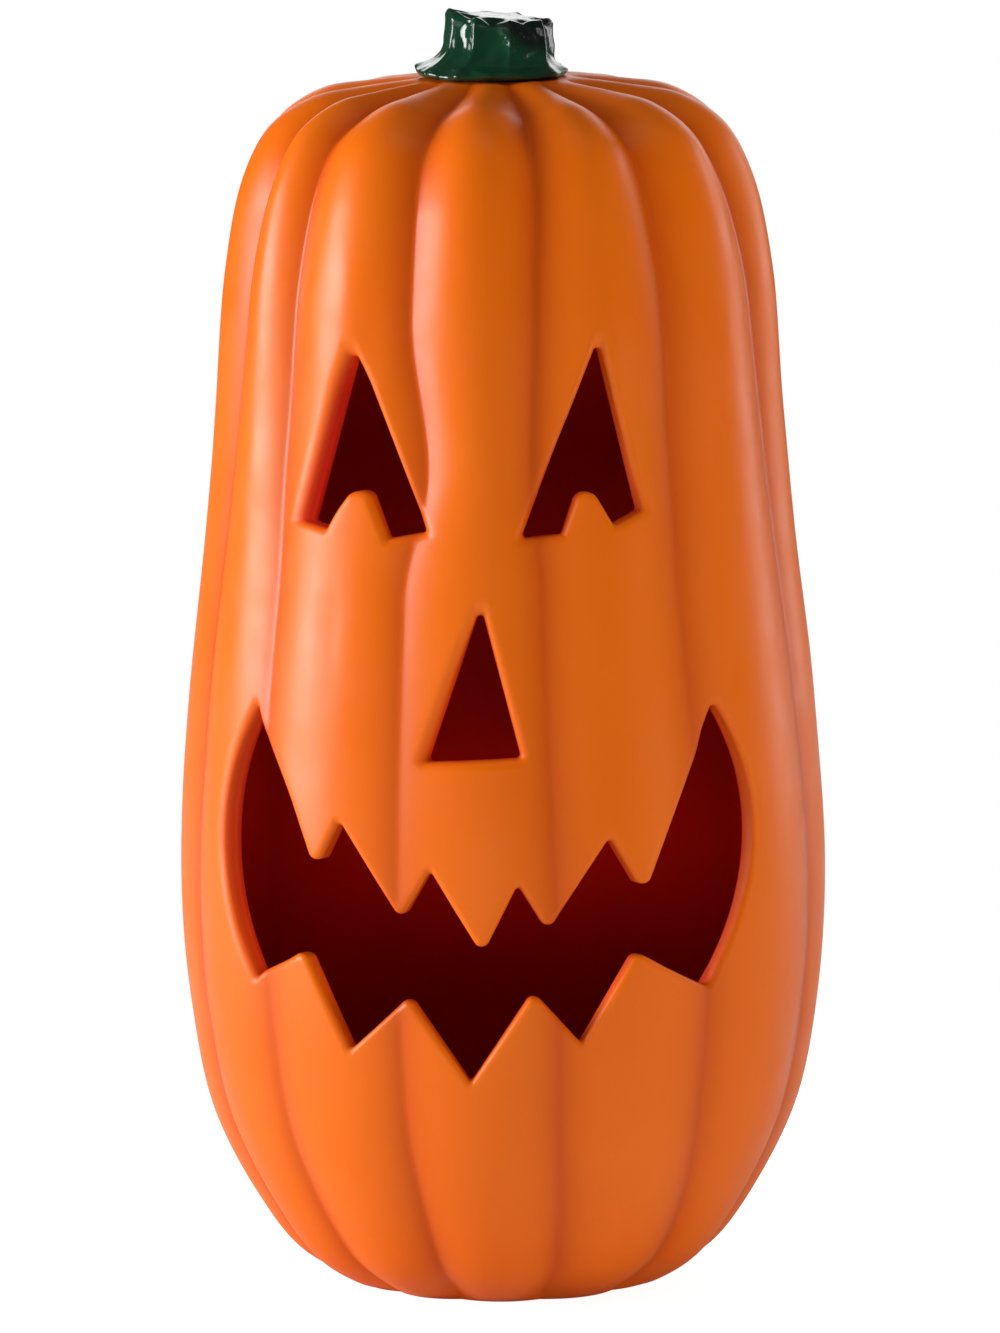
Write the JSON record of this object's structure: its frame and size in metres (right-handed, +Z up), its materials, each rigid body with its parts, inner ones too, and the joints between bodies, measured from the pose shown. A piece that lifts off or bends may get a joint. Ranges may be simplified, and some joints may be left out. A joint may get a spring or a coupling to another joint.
{
  "type": "carved pumpkin lantern",
  "caption": "Tall hollow ribbed pumpkin lantern with a jagged carved face cut through its front wall, a flat closed base and a flared, fluted stem on top.",
  "frame": {"origin": "centre of the flat base, on the surface it stands on", "axes": "+Z up through the stem, the carved face looks along -Y, +X is to the right of someone looking at the face"},
  "size_m": [0.2234, 0.2236, 0.4411],
  "materials": {
    "shell": "satin",
    "stem": "gloss"
  },
  "bodies": {
    "root": {"shell": "shell", "stem": "stem"}
  },
  "joints": []
}
